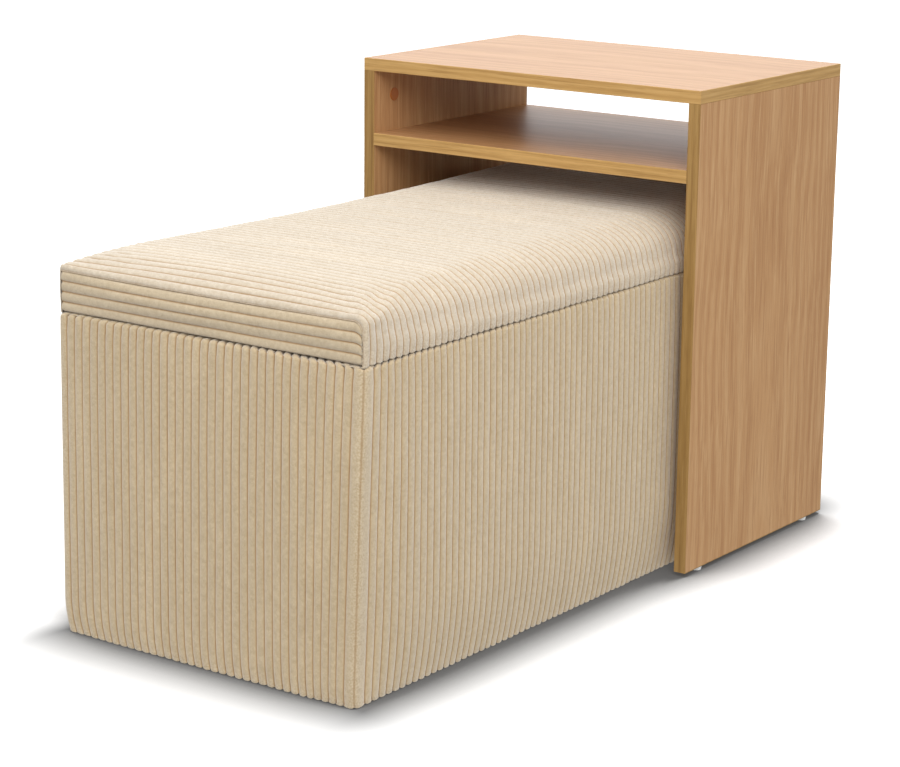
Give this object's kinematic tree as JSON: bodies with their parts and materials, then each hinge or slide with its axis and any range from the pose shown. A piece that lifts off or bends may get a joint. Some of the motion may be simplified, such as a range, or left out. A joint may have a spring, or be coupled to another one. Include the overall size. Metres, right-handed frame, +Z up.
{
  "type": "storage bench",
  "caption": "Upholstered storage bench with a hinged padded lid in ribbed fabric, and a wooden bridge table with an under-shelf that stands across it and slides along it",
  "frame": {"origin": "centre of the bounding box's footprint, on the floor", "axes": "+Z up; +Y along the bench from its free end towards the table; +X across the bench, to the right as seen from the free end looking at the table"},
  "size_m": [0.5, 0.95, 0.6],
  "materials": {
    "table_top": "light oak woodgrain laminate, satin, grain across the bench",
    "side_panel": "light oak woodgrain laminate, satin, grain upright",
    "shelf": "light oak woodgrain laminate, satin, grain across the bench",
    "edge_banding": "1 mm woodgrain edge band, slightly more yellow than the faces",
    "zinc_alloy": "die-cast zinc alloy, satin",
    "plated_steel": "zinc-plated steel",
    "cap_plastic": "wood-coloured moulded cap",
    "beech": "bare beech",
    "glide_plastic": "white moulded plastic",
    "panel_board": "raw particle board",
    "softwood": "planed softwood",
    "foam": "polyurethane foam",
    "corduroy": "cream jumbo corduroy, soft pile, 11.5 mm ribs",
    "lining": "black non-woven lining",
    "dust_cloth": "black non-woven dust cloth",
    "rubber": "soft rubber"
  },
  "bodies": {
    "bench": {"bench_left_wall": "panel_board", "bench_right_wall": "panel_board", "bench_front_wall": "panel_board", "bench_rear_wall": "panel_board", "bench_floor": "panel_board", "bench_corner_posts": "softwood", "bench_rim_rails": "softwood", "bench_floor_bearers": "softwood", "bench_left_padding": "foam", "bench_right_padding": "foam", "bench_front_padding": "foam", "bench_rear_padding": "foam", "bench_front_cover": "corduroy", "bench_rear_cover": "corduroy", "bench_left_cover": "corduroy", "bench_right_cover": "corduroy", "bench_lining": "lining", "bench_dust_cover": "dust_cloth", "bench_glides": "glide_plastic", "hinge_bench_leaves": "plated_steel", "hinge_pins": "plated_steel", "hinge_bench_screws": "plated_steel"},
    "table": {"table_top": "table_top", "table_top_edging": "edge_banding", "table_left_panel": "side_panel", "table_left_edging": "edge_banding", "table_right_panel": "side_panel", "table_right_edging": "edge_banding", "table_shelf": "shelf", "table_shelf_edging": "edge_banding", "cam_locks": "zinc_alloy", "cam_bolts": "plated_steel", "cam_caps": "cap_plastic", "wood_dowels": "beech", "table_glides": "glide_plastic"},
    "lid": {"lid_board": "panel_board", "lid_foam": "foam", "lid_cover": "corduroy", "lid_lining": "lining", "lid_bumpers": "rubber", "hinge_lid_leaves": "plated_steel", "hinge_lid_screws": "plated_steel"}
  },
  "joints": [
    {"name": "table_slide", "type": "slide", "parent": "bench", "child": "table", "axis": [0, 1, 0], "range_m": [-0.6, 0.36]},
    {"name": "lid_hinge", "type": "hinge", "parent": "bench", "child": "lid", "pos_m": [-0.2185, 0, 0.372], "axis": [0, -1, 0], "range_deg": [0, 6.5]}
  ]
}
